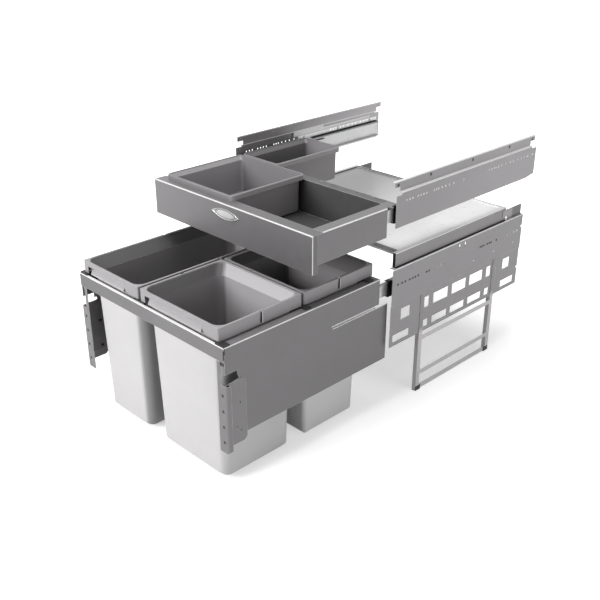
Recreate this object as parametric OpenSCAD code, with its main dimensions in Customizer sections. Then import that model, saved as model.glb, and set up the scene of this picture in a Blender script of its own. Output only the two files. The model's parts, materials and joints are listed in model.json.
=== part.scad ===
// Pull-out waste unit for a 600 mm base cabinet: three bins that slide out with
// the door, a short drawer with two containers above them, a fixed lid between,
// and the side plates and leg frames that carry them on the cabinet walls.
// X is the width, +Y runs into the cabinet, Z is up from the cabinet floor.
// The unit is drawn with the bins fully out and the drawer half out.

/* [Cabinet] */
// Clear width between the cabinet walls
cabinet_w = 564; // [556:1:580]
// How far the bin frame is pulled out
bins_out = 497; // [440:1:500]
// How far the drawer is pulled out
drawer_out = 250; // [220:1:260]

/* [Sheet] */
// Thickness of the folded steel sheet
sheet_t = 1.2; // [1:0.1:1.4]
// Thickness of the leg frames
leg_t = 1.5; // [1.2:0.1:1.8]

/* [Lower side plates] */
// Depth of a lower plate
lower_d = 560; // [550:1:580]
// Height of its bottom edge above the cabinet floor
lower_z = 174; // [168:1:178]
// Height of a lower plate
lower_h = 211; // [206:1:214]
// Height of the crease above the bottom edge
crease_h = 111; // [108:1:114]
// Width of the fold along the top edge
top_fold = 16; // [15:0.5:18]
// Radius of the top front corner
plate_r = 6; // [2:0.5:10]
// Height of an upper window
window_upper_h = 30; // [24:1:32]
// Height of a lower window
window_lower_h = 20; // [14:1:22]

/* [Upper side plates] */
// Depth of an upper plate
upper_d = 588; // [575:1:600]
// Height of its bottom edge above the cabinet floor
upper_z = 491; // [488:1:494]
// Height of an upper plate
upper_h = 111; // [106:1:116]
// Height of the step above the bottom edge
step_h = 85; // [82:1:90]
// How far the strip above the step stands in
step_in = 7; // [5:0.5:7.5]

/* [Leg frames] */
// Width of a leg strip
leg_w = 14; // [12:1:18]
// Width of the flange folded in from a leg
leg_flange = 12; // [8:1:12.5]
// Front face of the front leg
leg_front_y = 117; // [100:1:118]
// Front face of the rear leg
leg_rear_y = 433; // [428:1:436]
// Width of a cross bar
leg_bar = 12; // [10:1:16]
// Height of the middle of the upper cross bar
bar_upper_z = 156; // [150:1:160]
// Height of the middle of the lower cross bar
bar_lower_z = 53; // [45:1:70]
// Height of a foot
foot_h = 14; // [12:1:16]

/* [Fixed lid] */
// Depth from the front lip to the rear edge
lid_d = 437; // [430:1:445]
// Distance of the front lip behind the plate fronts
lid_y = 45; // [42:1:50]
// Height of the side rails
lid_h = 37; // [35:1:39]
// Width of a side rail
lid_rail_w = 11; // [9:0.5:12]
// Distance from a rail's outer face to the cabinet wall
lid_side_gap = 8; // [7:0.5:9]
// Height of the front lip
lid_lip = 14; // [10:1:15]

/* [Bin frame] */
// Gap between a side panel and the cabinet wall
panel_gap = 13.5; // [13:0.5:15]
// Height of the top edge of the frame
frame_z = 368; // [366:1:369]
// Height of a side panel
panel_h = 225; // [215:1:235]
// Distance of the closed front behind the plate fronts, negative in front
front_closed_y = -20; // [-24:1:-18]
// Depth of a side panel above its slot
panel_d = 484; // [478:1:488]
// Depth of a side panel below its slot
panel_low_d = 515; // [505:1:520]
// Height of the front rail
rail_h = 34; // [30:1:36]
// Height of the slot in a side panel
slot_h = 7; // [6:0.5:8]
// Length of the slot up to the rear end of the panel
slot_l = 162; // [158:1:170]
// Width of the channel that hides a runner
channel_w = 20.3; // [19.5:0.1:21]

/* [Bins] */
// Height of the rim above the frame
rim_up = 33; // [30:1:34]
// Height of the outer skirt
skirt_h = 30; // [26:1:31]
// Wall thickness of the bins
bin_wall = 2.5; // [2:0.1:3]
// Height of the bin floors above the cabinet floor
bin_floor_z = 10; // [8:1:30]
// Corner radius of a bin
bin_r = 24; // [16:1:28]
// Corner radius of the rear right bin's body
rear_bin_r = 12; // [10:1:24]
// Depth below the rim at which a bin's mouth has narrowed to its body
bin_funnel_h = 26; // [16:1:27]
// Width of the rim
rim_w = 5; // [4:0.5:6]
// Narrowing of a bin from top to bottom on each side
bin_draft = 7; // [4:0.5:8]
// Width of the handle notches in the rims
notch_w = 9; // [6:0.5:12]

/* [Drawer] */
// Height of the drawer front
drawer_h = 90; // [86:1:94]
// Height of the top edge of the drawer above the bottom of the upper plates
drawer_up = 55.5; // [53:0.5:57]
// Gap between the drawer front and each cabinet wall
drawer_gap = 3; // [2.5:0.5:4]
// Depth of the drawer in front of its rear edge
drawer_d = 262; // [258:1:266]
// Width of the ledge along the drawer front
ledge_w = 34; // [30:1:36]
// Width of the ledge along a drawer side
side_w = 30; // [29:0.5:31]
// Height of a drawer side
side_h = 72; // [70:1:74]
// Width of the ledge along the rear edge
rear_w = 26; // [22:1:27]

/* [Containers] */
// Width of the front container
front_box_w = 247; // [236:1:249]
// Width of the rear container
rear_box_w = 138; // [120:1:154]
// Depth of the rear container
rear_box_d = 241; // [220:1:246]
// Height of the front container
front_box_h = 100; // [80:0.5:100.5]
// Height of the rear container
rear_box_h = 90; // [70:1:100]
// Height of a container's rim above the drawer
box_rim_t = 13.5; // [8:0.5:14]
// Corner radius of a container's rim
box_r = 12; // [10:1:16]
// Corner radius of a container's body
box_body_r = 10; // [9:0.5:14]
// Wall thickness of a container
box_wall = 2; // [1.6:0.1:2.4]

/* [Badge] */
// Width of the bare badge
badge_w = 98; // [70:1:110]
// Height of the bare badge
badge_h = 26; // [18:1:32]

/* [Door brackets] */
// Width of the front face of a bracket
bracket_w = 30; // [28:1:31]
// Height of the front face
bracket_h = 169; // [160:1:172]
// Pitch of the four door screw holes
door_pitch = 39; // [36:1:40]
// Diameter of the middle holes
door_hole_d = 5; // [4:0.5:6]
// Length of the slotted top and bottom holes
door_slot_l = 8; // [7:0.5:10]

/* [Runners] */
// Height of a bin runner
bin_runner_h = 41; // [40:0.5:42]
// Height of a drawer runner
drawer_runner_h = 42; // [41:0.5:42]
// Diameter of the bearing balls
ball_d = 3.5; // [3:0.1:3.6]
// Gap between a ball and each race
ball_gap = 0.3; // [0.3:0.02:0.36]
// Gap between the webs of nested members
web_gap = 1.2; // [1:0.1:1.4]

/* [Hidden] */

// Overrun of every cut past the solid
over = 1;
// Facets of the rounded corners in hulls
corner_fn = 32;

// Colours
steel_grey = [0.56, 0.56, 0.57];
zinc = [0.74, 0.75, 0.76];
black = [0.1, 0.1, 0.11];
bin_grey = [0.84, 0.84, 0.85];
rim_grey = [0.63, 0.63, 0.64];
box_grey = [0.5, 0.5, 0.51];

// Half width and the planes of the side plates
drawer_w = cabinet_w - 2 * drawer_gap;
half_w = cabinet_w / 2;
plate_in = half_w - sheet_t;
lower_in = half_w - leg_t - sheet_t;
lower_top = lower_z + lower_h;
crease_z = lower_z + crease_h;
upper_top = upper_z + upper_h;
step_z = upper_z + step_h;
strip_out = half_w - step_in;
strip_in = strip_out - sheet_t;

// Small holes, slots and notches of the side plates
pin_hole_d = 4.2;
screw_hole_d = 4.5;
strip_hole_d = 6;
strip_hole_up = 17;
strip_fold = 5;
end_notch_l = 20;
end_notch_h = 18;
end_notch_up = 12;
rear_cut_l = 38;
rear_cut_h = 6;
rear_notch = 6;
tab_slot_w = 5;
tab_slot_h = 14;
tab_slot_down = 8;
window_upper_up = 66;
window_lower_up = 11;
lower_pins_up = 168;
upper_pins_up = 62;
lower_hole_shares = [0.036, 0.063, 0.086, 0.116, 0.136, 0.154, 0.175, 0.234, 0.252, 0.282, 0.314,
    0.339, 0.364, 0.646, 0.66, 0.675, 0.702, 0.72, 0.734, 0.779, 0.87, 0.9, 0.93, 0.96];
upper_hole_shares = [0.063, 0.082, 0.1, 0.134, 0.152, 0.17, 0.189, 0.238, 0.253, 0.267, 0.29, 0.315,
    0.34, 0.372, 0.629, 0.648, 0.668, 0.7, 0.724, 0.755, 0.79, 0.815, 0.854, 0.88, 0.905, 0.934, 0.974];
strip_hole_shares = [0.02, 0.225, 0.513, 0.79, 0.978];
tab_slot_shares = [0.473, 0.516];
rear_notch_shares = [0.23, 0.82];
window_upper_shares = [[0.071, 0.134], [0.232, 0.271], [0.304, 0.414], [0.445, 0.554], [0.584, 0.689],
    [0.723, 0.757], [0.863, 0.92]];
window_lower_shares = [[0.02, 0.134], [0.234, 0.271], [0.302, 0.414], [0.441, 0.552], [0.582, 0.688],
    [0.721, 0.754], [0.859, 0.968]];

// Leg frames and feet
leg_gap = 0.5;
leg_top = crease_z - leg_gap;
flange_gap = 2;
flange_top = lower_z - flange_gap;
foot_sole = 2;
foot_reach = 6;
foot_l = leg_w + foot_reach;

// Fixed lid
lid_z = lower_top;
lid_out = half_w - lid_side_gap;
lid_in = lid_out - lid_rail_w;
lid_top = lid_z + lid_h;
lid_rail_reach = 28;
lid_rail_y = lid_y - lid_rail_reach;
lid_end = lid_y + lid_d;
pan_deep = 4;
pan_z = lid_top - pan_deep;
pan_lip = 4;
pan_bead = 10;
lid_bracket_up = 9;
lid_bracket_z = lid_z + lid_bracket_up;
lid_bracket_h = 21;
lid_bracket_lap = 14;
lid_bracket_reach = 74;
lid_bracket_end = lid_end + lid_bracket_reach;
lid_foot_gap = 8;
lid_foot_y = lid_end + lid_foot_gap;
lid_foot_w = 6;
lid_screw_in = 5.5;
lid_screw_x = lid_out - lid_screw_in;
lid_screw_y_shares = [0.1, 0.5, 0.82];
screw_d = 4;
screw_head_d = 6.4;
screw_head_h = 2;
screw_play = 0.25;

// Front faces of the bin frame and of the drawer, drawn and closed
drawer_z = upper_z + drawer_up;
drawer_closed_y = -22;
frame_y = front_closed_y - bins_out;
panel_y = frame_y + leg_t;
drawer_y = drawer_closed_y - drawer_out;

// Side panels and the channel behind each one
panel_out = half_w - panel_gap;
panel_in = panel_out - sheet_t;
channel_in = panel_in - channel_w;
panel_z = frame_z - panel_h;
panel_end = panel_y + panel_d;
panel_low_end = panel_y + panel_low_d;
slot_up = 152;
slot_z = panel_z + slot_up;
slot_y = panel_end - slot_l;
panel_notch_l = 38;
panel_notch_h = 26;
panel_notch_slope = 6;
side_rail_h = 66;
corner_l = 18;
corner_h = 32;
rest_t = 3;
rest_h = 15;
rest_in = 6.5;
rest_out = 15;
rest_l = 18;
rest_back = 25;
centre_rest_w = 40;
rear_member_w = 30;
rear_member_h = 40;
rail_fold_top = 6;
rail_fold_low = 12;
rail_fold_gap = 1;

// Bin runners, nested from the cabinet side to the bin side
bin_run_gap = 1;
bin_run_out = panel_in - bin_run_gap;
bin_run_in = channel_in + sheet_t;
bin_run_depth = 12.3;
bin_run_up = 7;
bin_run_z = slot_z + slot_h + bin_run_up;
tongue_t = 3;
tongue_z = slot_z + slot_h / 2 - tongue_t / 2;
tongue_gap = 8;
tongue_y = slot_y + bins_out + tongue_gap;
tongue_flange = 24;
bin_cab_y = 2;
bin_cab_end = 545;
bin_mid_y = -248;
bin_mid_end = 230;
bin_slide_y = panel_y + corner_l;
bin_slide_end = -5;
bin_outer_row_y = 20;
bin_inner_row_y = -230;
bin_screw_up = 14;
bin_screw_shares = [0.1, 0.5, 0.9];

// Ball rows
ball_space = ball_d + 2 * ball_gap;
row_in = 4.2;
row_step = 2;
row_balls = 5;
row_pitch = 36;
row_l = row_balls * row_pitch;
cage_w = 1.6;
cage_h = 1.4;

// Drawer sides and runners
side_inset = 2.2;
side_out = drawer_w / 2 - side_inset;
side_skin_in = side_out - sheet_t;
side_in = side_out - side_w;
side_skin_l = 247;
side_skin_end = drawer_y + side_skin_l;
drawer_run_gap = 2;
drawer_run_out = side_skin_in - drawer_run_gap;
drawer_run_in = side_in + sheet_t;
drawer_run_depth = 11.6;
drawer_run_down = 2.3;
drawer_run_z = drawer_z - sheet_t - drawer_runner_h - drawer_run_down;
drawer_cab_y = 2;
drawer_cab_end = 573;
drawer_mid_y = -120;
drawer_mid_end = 330;
drawer_slide_end = 255;
drawer_outer_row_y = 70;
drawer_inner_row_y = -50;
standoff_gap = 7;
standoff_y = side_skin_end + drawer_out + standoff_gap;
standoff_down = 8;
standoff_z = drawer_run_z - standoff_down;
standoff_low = 1.5;
standoff_top = drawer_z - standoff_low;
standoff_tab = 13;
standoff_screw_up = 7;
standoff_screw_shares = [0.08, 0.5, 0.92];

// Drawer levels and folds
front_z = drawer_z - drawer_h;
front_return = 16;
side_z = drawer_z - side_h;
floor_up = 1.2;
floor_z = front_z + floor_up;
pan_y = drawer_y + ledge_w - sheet_t;
pan_end = drawer_y + drawer_d;
rear_end = pan_end + rear_w;
rear_fold = 14;
rear_side_gap = 1.6;
rear_side_x = drawer_run_out - rear_side_gap;
rear_slot_w = 4;
rear_slot_in = 7;
rear_slot_shares = [[0.08, 0.19], [0.23, 0.34], [0.58, 0.745], [0.785, 0.92]];
carrier_rise = 30;

// Containers: how far their rims lie over the drawer edges, and the play of their bodies
box_rim_z = drawer_z + box_rim_t;
box_side_play = 2.3;
box_end_play = 0.5;
front_lap = [11.5, 14.5];
front_lap_end = [12.5, 5];
rear_lap = [10, 20.6];
rear_lap_end = [5, 8];
rear_box_play = 2.2;
front_box_x = box_side_play - side_in - front_lap.x;
front_box_y = pan_y + sheet_t + box_end_play - front_lap.y;
front_box_end = pan_end - 2 * box_end_play + front_lap_end.y;
rear_box_x = box_side_play - side_in - rear_lap.x;
rear_box_y = rear_end + rear_box_play - rear_lap.y;
box_draft = 1.2;
box_lip = 5;
box_edge = 1.5;
box_foot_r = 2.5;

// Bins: the height of their rims and the plan layout
rim_z = frame_z + rim_up;
skirt_z = rim_z - skirt_h;
bin_front_gap = 9;
front_bin_l = 240;
rear_bin_l = 232;
bin_gap = 6;
left_wall_gap = 22;
right_wall_gap = 38;
bins_left = 30;
bins_gap = 8;
bin_y = frame_y + bin_front_gap;
bin_mid_y0 = bin_y + front_bin_l;
bin_mid_y1 = bin_mid_y0 + bin_gap;
bin_end = bin_mid_y1 + rear_bin_l;
left_rim_x = left_wall_gap - half_w;
left_rim_end = -bins_left - bins_gap;
right_rim_x = -bins_left;
right_rim_end = half_w - right_wall_gap;
rim_r = 4;
left_bin_in = 28;
left_bin_side = 8;
right_bin_in = 17;
right_bin_side = 5;
bin_front_in = 7;
bin_back_in = 20;
bin_end_in = 40;
slice = 0.01;
grip_left = 18;
grip_right = 44;
grip_slope = 14;
grip_h = 18;
grip_ramp_h = 10;
notch_deep = 3.2;
bin_foot_r = 8;

// Door brackets
bracket_wall_gap = 7;
bracket_down = 90;
bracket_out = half_w - bracket_wall_gap;
bracket_z = frame_z - bracket_down - bracket_h;
bracket_fold = 12;
bracket_r = 4;
bracket_side_up = 16;
bracket_side_l = 57;
bracket_side_z = bracket_z + bracket_side_up;
bracket_side_end = frame_y + bracket_side_l;
bracket_side_h = 157;
bracket_strip_w = 10;
bracket_foot_r = 8;
door_hole_in = 14;
door_hole_down = 25;
bracket_slot_in = 30;
door_hole_x = bracket_out - door_hole_in;
door_hole_z = bracket_z + bracket_h - door_hole_down;
bracket_slot_y = frame_y + bracket_slot_in;
bracket_slot_up = 42;
bracket_screw_in = 40;
bracket_screw_y = frame_y + bracket_screw_in;
bracket_screw_ups = [30, 100];

// Badge
badge_down = 24;
badge_z = drawer_z - badge_down;
badge_x = -5;
badge_t = 1.6;
badge_rim = 4;
badge_rise = 0.8;

// Everything on the right side, or its mirror image on the left
module on_side(side) {
    if (side > 0) {
        children();
    } else {
        mirror([1, 0, 0]) children();
    }
}

// Flat outline in X and Z, pulled along Y
module along_y(y0, y1) {
    translate([0, y1, 0]) rotate([90, 0, 0]) linear_extrude(y1 - y0) children();
}

// Flat outline in Y and Z, pulled along X
module along_x(x0, x1) {
    translate([x0, 0, 0]) rotate([90, 0, 90]) linear_extrude(x1 - x0) children();
}

// Rectangle from one corner to the other
module rect(a, b) {
    translate(a) square(b - a);
}

// Box from one corner to the other
module block(a, b) {
    translate(a) cube(b - a);
}

// Rectangle with round corners, as exact arcs
module round_rect(a, b, r) {
    rect([a.x + r, a.y], [b.x - r, b.y]);
    rect([a.x, a.y + r], [b.x, b.y - r]);
    for (x = [a.x + r, b.x - r], y = [a.y + r, b.y - r]) {
        translate([x, y]) circle(r, $fn = corner_fn);
    }
}

// Thin slice of a rectangle with round corners, for hulls
module slice_at(z, a, b, r) {
    translate([0, 0, z]) linear_extrude(slice) {
        hull() {
            for (x = [a.x + r, b.x - r], y = [a.y + r, b.y - r]) {
                translate([x, y]) circle(r, $fn = corner_fn);
            }
        }
    }
}

// Upright block with round corners between two heights, for hulls
module tube_at(z0, z1, a, b, r) {
    translate([0, 0, z0]) linear_extrude(z1 - z0) {
        hull() {
            for (x = [a.x + r, b.x - r], y = [a.y + r, b.y - r]) {
                translate([x, y]) circle(r, $fn = corner_fn);
            }
        }
    }
}

// Round hole along X through everything between two planes
module hole_x(x0, x1, y, z, d) {
    translate([x0, y, z]) rotate([0, 90, 0]) cylinder(h = x1 - x0, d = d, $fn = 24);
}

// Pan head screw along +X, head first
module screw_x(x_head, x_tip, y, z) {
    translate([x_head, y, z]) rotate([0, 90, 0]) {
        cylinder(h = screw_head_h, d = screw_head_d, $fn = 32);
        cylinder(h = x_tip - x_head, d = screw_d - screw_play, $fn = 24);
    }
}

// Side plates

module lower_plate(side) {
    color(steel_grey) on_side(side) difference() {
        along_y(0, lower_d) {
            rect([lower_in, lower_z], [lower_in + sheet_t, crease_z + sheet_t]);
            rect([lower_in, crease_z], [half_w, crease_z + sheet_t]);
            rect([plate_in, crease_z], [half_w, lower_top]);
            rect([half_w - top_fold, lower_top - sheet_t], [half_w, lower_top]);
        }
        block([half_w - top_fold - over, -over, lower_top - plate_r], [plate_in, plate_r, lower_top + over]);
        along_x(half_w - top_fold, half_w + over) difference() {
            rect([-over, lower_top - plate_r], [plate_r, lower_top + over]);
            translate([plate_r, lower_top - plate_r]) circle(plate_r, $fn = corner_fn);
        }
        lower_windows(window_upper_shares, window_upper_up, window_upper_h);
        lower_windows(window_lower_shares, window_lower_up, window_lower_h);
        for (share = lower_hole_shares) {
            hole_x(lower_in - over, half_w + over, share * lower_d, lower_z + lower_pins_up, pin_hole_d);
        }
        for (share = tab_slot_shares) {
            block([lower_in - over, share * lower_d, lower_top - tab_slot_down - tab_slot_h],
                [half_w + over, share * lower_d + tab_slot_w, lower_top - tab_slot_down]);
        }
        for (share = rear_notch_shares) {
            block([lower_in - over, lower_d - rear_notch, lower_z + share * lower_h],
                [half_w + over, lower_d + over, lower_z + share * lower_h + rear_notch]);
        }
        for (share = bin_screw_shares) {
            hole_x(lower_in - over, half_w + over, bin_screw_y(share), tongue_z + bin_screw_up, screw_hole_d);
        }
        for (share = lid_screw_y_shares) {
            translate([lid_screw_x, lid_screw_y(share), lower_top - top_fold]) {
                cylinder(h = top_fold + over, d = screw_hole_d, $fn = 24);
            }
        }
    }
}

module lower_windows(shares, up, h) {
    for (share = shares) {
        block([lower_in - over, share[0] * lower_d, lower_z + up],
            [half_w + over, share[1] * lower_d, lower_z + up + h]);
    }
}

module upper_plate(side) {
    color(steel_grey) on_side(side) difference() {
        along_y(0, upper_d) {
            rect([plate_in, upper_z], [half_w, step_z]);
            rect([strip_in, step_z - sheet_t], [half_w, step_z]);
            rect([strip_in, step_z - sheet_t], [strip_out, upper_top]);
            rect([strip_in - strip_fold, upper_top - sheet_t], [strip_out, upper_top]);
        }
        for (y = [-over, upper_d - end_notch_l]) {
            block([strip_in - over, y, step_z + end_notch_up - end_notch_h],
                [half_w + over, y + end_notch_l + over, step_z + end_notch_up]);
        }
        along_x(plate_in - over, half_w + over) polygon([
            [upper_d - rear_cut_l, upper_z],
            [upper_d - rear_cut_l, upper_z - over],
            [upper_d + over, upper_z - over],
            [upper_d + over, upper_z + rear_cut_h]
        ]);
        for (share = upper_hole_shares) {
            hole_x(plate_in - over, half_w + over, share * upper_d, upper_z + upper_pins_up, pin_hole_d);
        }
        for (share = strip_hole_shares) {
            hole_x(strip_in - over, half_w + over, share * upper_d, step_z + strip_hole_up, strip_hole_d);
        }
        for (share = standoff_screw_shares) {
            hole_x(plate_in - over, half_w + over, standoff_screw_y(share), standoff_screw_z(), screw_hole_d);
        }
    }
}

// Leg frames

module leg_frame(side) {
    color(steel_grey) on_side(side) {
        for (y = [leg_front_y, leg_rear_y]) {
            block([half_w - leg_t, y, foot_h], [half_w, y + leg_w, leg_top]);
            block([half_w - leg_flange, y, foot_h], [half_w - leg_t, y + leg_t, flange_top]);
            block([half_w - leg_flange, y, foot_sole], [half_w - leg_t, y + leg_t, foot_h]);
        }
        for (z = [bar_upper_z, bar_lower_z]) {
            block([half_w - leg_t, leg_bar_y, z - leg_bar / 2], [half_w, leg_bar_end, z + leg_bar / 2]);
        }
        block([half_w - 2 * leg_t, leg_front_y, foot_sole],
            [half_w - leg_t, leg_rear_y + leg_w, foot_h + leg_t]);
    }
}

leg_bar_y = leg_front_y + leg_w / 2;
leg_bar_end = leg_rear_y + leg_w / 2;

module leg_feet() {
    color(black) for (side = [-1, 1]) {
        on_side(side) {
            foot(leg_front_y, leg_front_y);
            foot(leg_rear_y, leg_rear_y + leg_w - foot_l);
        }
    }
}

// One foot: a plug in the corner of the frame on a flat sole
module foot(y_leg, y) {
    block([half_w - leg_t, y, 0], [half_w, y + foot_l, foot_h]);
    block([half_w - leg_flange, y, 0], [half_w, y + foot_l, foot_sole]);
}

// Fixed lid

module lid_pan() {
    color(steel_grey) {
        along_x(-lid_out + sheet_t, lid_out - sheet_t) {
            rect([lid_y, pan_z - sheet_t], [lid_end, pan_z]);
        }
        along_x(-lid_in, lid_in) {
            rect([lid_y, pan_z - lid_lip], [lid_y + sheet_t, pan_z]);
            rect([lid_y - pan_lip, pan_z - lid_lip], [lid_y + sheet_t, pan_z - lid_lip + sheet_t]);
            rect([lid_end - sheet_t, pan_z - sheet_t], [lid_end, lid_top]);
            rect([lid_end - pan_bead, pan_z - sheet_t], [lid_end - pan_bead + sheet_t, lid_top - sheet_t]);
        }
    }
}

module lid_rail(side) {
    color(steel_grey) on_side(side) difference() {
        along_y(lid_rail_y, lid_end) {
            rect([lid_out - sheet_t, lid_z], [lid_out, lid_top]);
            rect([lid_in, lid_top - sheet_t], [lid_out, lid_top]);
            rect([lid_in, lid_z], [lid_out, lid_z + sheet_t]);
        }
        for (share = lid_screw_y_shares) {
            translate([lid_screw_x, lid_screw_y(share), lid_z - over]) {
                cylinder(h = 2 * over + sheet_t, d = screw_hole_d, $fn = 24);
            }
        }
    }
}

module lid_bracket(side) {
    color(zinc) on_side(side) {
        block([lid_out, lid_end - lid_bracket_lap, lid_bracket_z],
            [lid_out + sheet_t, lid_bracket_end, lid_bracket_z + lid_bracket_h]);
        block([lid_out, lid_foot_y, lid_z], [lid_out + sheet_t, lid_bracket_end, lid_bracket_z + sheet_t]);
        block([lid_out, lid_foot_y, lid_z], [lid_out + lid_foot_w, lid_bracket_end, lid_z + sheet_t]);
    }
}

module lid_screws() {
    color(zinc) for (side = [-1, 1], share = lid_screw_y_shares) {
        on_side(side) translate([lid_screw_x, lid_screw_y(share), lid_z + sheet_t]) {
            cylinder(h = screw_head_h, d = screw_head_d, $fn = 32);
            mirror([0, 0, 1]) cylinder(h = 2 * sheet_t + over, d = screw_d - screw_play, $fn = 24);
        }
    }
}

function lid_screw_y(share) = lid_rail_y + share * (lid_end - lid_rail_y);

// Runners

// Three nested channels, numbered 0 at the cabinet, 1 in the middle and 2 at the sliding part
function member_z(z, level) = z + level * (sheet_t + ball_space);
function member_h(h, level) = h - 2 * level * (sheet_t + ball_space);

// Channel whose web stands outward and whose flanges point inward
module channel_out(x_out, x_flange, z, h) {
    rect([x_out - sheet_t, z], [x_out, z + h]);
    rect([x_flange, z], [x_out, z + sheet_t]);
    rect([x_flange, z + h - sheet_t], [x_out, z + h]);
}

// Channel whose web stands inward and whose flanges point outward
module channel_inward(x_in, x_flange, z, h) {
    rect([x_in, z], [x_in + sheet_t, z + h]);
    rect([x_in, z], [x_flange, z + sheet_t]);
    rect([x_in, z + h - sheet_t], [x_flange, z + h]);
}

// Two rows of balls in their strips, above and below the members that they part
module ball_rows(x, y, z, h, level) {
    gap_z = member_z(z, level) + sheet_t + ball_space / 2;
    gap_top = member_z(z, level) + member_h(h, level) - sheet_t - ball_space / 2;
    for (row_z = [gap_z, gap_top]) {
        block([x - cage_w / 2, y, row_z - cage_h / 2], [x + cage_w / 2, y + row_l, row_z + cage_h / 2]);
        for (i = [0 : row_balls - 1]) {
            translate([x, y + (i + 1 / 2) * row_pitch, row_z]) sphere(d = ball_d, $fn = 16);
        }
    }
}

module bin_cabinet_runner(side) {
    color(zinc) on_side(side) difference() {
        union() {
            along_y(bin_cab_y, bin_cab_end) {
                channel_out(bin_run_out, bin_run_out - bin_run_depth, bin_run_z, bin_runner_h);
            }
            along_y(tongue_y, bin_cab_end) {
                rect([bin_run_out - sheet_t, tongue_z], [bin_run_out, bin_run_z + sheet_t]);
                rect([bin_run_out - sheet_t, tongue_z], [plate_in, tongue_z + tongue_t]);
                rect([plate_in - sheet_t, tongue_z], [plate_in, tongue_z + tongue_flange]);
            }
        }
        for (share = bin_screw_shares) {
            hole_x(plate_in - sheet_t - over, plate_in + over, bin_screw_y(share), tongue_z + bin_screw_up,
                screw_hole_d);
        }
    }
}

function bin_screw_y(share) = tongue_y + share * (bin_cab_end - tongue_y);

module bin_runner_screws() {
    color(zinc) for (side = [-1, 1], share = bin_screw_shares) {
        on_side(side) {
            screw_x(plate_in - sheet_t - screw_head_h, half_w, bin_screw_y(share), tongue_z + bin_screw_up);
        }
    }
}

module bin_middle_runner(side) {
    x_out = bin_run_out - sheet_t - web_gap;
    color(zinc) on_side(side) along_y(bin_mid_y, bin_mid_end) {
        channel_out(x_out, x_out - bin_run_depth + web_gap, member_z(bin_run_z, 1),
            member_h(bin_runner_h, 1));
    }
}

module bin_slide(side) {
    x_flange = bin_run_out - 2 * (sheet_t + web_gap) - web_gap;
    color(zinc) on_side(side) along_y(bin_slide_y, bin_slide_end) {
        channel_inward(bin_run_in, x_flange, member_z(bin_run_z, 2), member_h(bin_runner_h, 2));
    }
}

module bin_outer_balls() {
    color(black) for (side = [-1, 1]) {
        on_side(side) {
            ball_rows(bin_run_out - bin_run_depth + row_in, bin_outer_row_y, bin_run_z, bin_runner_h, 0);
        }
    }
}

module bin_inner_balls() {
    color(black) for (side = [-1, 1]) {
        on_side(side) {
            ball_rows(bin_run_out - bin_run_depth + row_in - row_step, bin_inner_row_y, bin_run_z,
                bin_runner_h, 1);
        }
    }
}

module drawer_standoff(side) {
    color(zinc) on_side(side) difference() {
        along_y(standoff_y, drawer_cab_end) {
            rect([drawer_run_out, standoff_z], [drawer_run_out + sheet_t, standoff_top]);
            rect([drawer_run_out, standoff_z], [plate_in, standoff_z + sheet_t]);
            rect([drawer_run_out, standoff_top - sheet_t], [plate_in, standoff_top]);
            rect([plate_in - sheet_t, standoff_top - sheet_t], [plate_in, standoff_top + standoff_tab]);
        }
        for (share = standoff_screw_shares) {
            hole_x(plate_in - sheet_t - over, plate_in + over, standoff_screw_y(share), standoff_screw_z(),
                screw_hole_d);
        }
    }
}

function standoff_screw_y(share) = standoff_y + share * (drawer_cab_end - standoff_y);
function standoff_screw_z() = standoff_top + standoff_screw_up;

module drawer_standoff_screws() {
    color(zinc) for (side = [-1, 1], share = standoff_screw_shares) {
        on_side(side) {
            screw_x(plate_in - sheet_t - screw_head_h, half_w, standoff_screw_y(share), standoff_screw_z());
        }
    }
}

module drawer_cabinet_runner(side) {
    color(zinc) on_side(side) along_y(drawer_cab_y, drawer_cab_end) {
        channel_out(drawer_run_out, drawer_run_out - drawer_run_depth, drawer_run_z, drawer_runner_h);
    }
}

module drawer_middle_runner(side) {
    x_out = drawer_run_out - sheet_t - web_gap;
    color(zinc) on_side(side) along_y(drawer_mid_y, drawer_mid_end) {
        channel_out(x_out, x_out - drawer_run_depth + web_gap, member_z(drawer_run_z, 1),
            member_h(drawer_runner_h, 1));
    }
}

module drawer_slide(side) {
    x_flange = drawer_run_out - 2 * (sheet_t + web_gap) - web_gap;
    color(zinc) on_side(side) along_y(pan_y, drawer_slide_end) {
        channel_inward(drawer_run_in, x_flange, member_z(drawer_run_z, 2), member_h(drawer_runner_h, 2));
    }
}

module drawer_outer_balls() {
    color(black) for (side = [-1, 1]) {
        on_side(side) {
            ball_rows(drawer_run_out - drawer_run_depth + row_in, drawer_outer_row_y, drawer_run_z,
                drawer_runner_h, 0);
        }
    }
}

module drawer_inner_balls() {
    color(black) for (side = [-1, 1]) {
        on_side(side) {
            ball_rows(drawer_run_out - drawer_run_depth + row_in - row_step, drawer_inner_row_y, drawer_run_z,
                drawer_runner_h, 1);
        }
    }
}

// Bin frame

module front_rail() {
    fold_x = channel_in - rest_in - rail_fold_gap;
    color(steel_grey) {
        block([-panel_out, frame_y, frame_z - rail_h], [panel_out, panel_y, frame_z]);
        block([-fold_x, frame_y, frame_z - leg_t], [fold_x, frame_y + rail_fold_top, frame_z]);
        block([-fold_x, frame_y, frame_z - rail_h],
            [fold_x, frame_y + rail_fold_low, frame_z - rail_h + leg_t]);
    }
}

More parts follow.
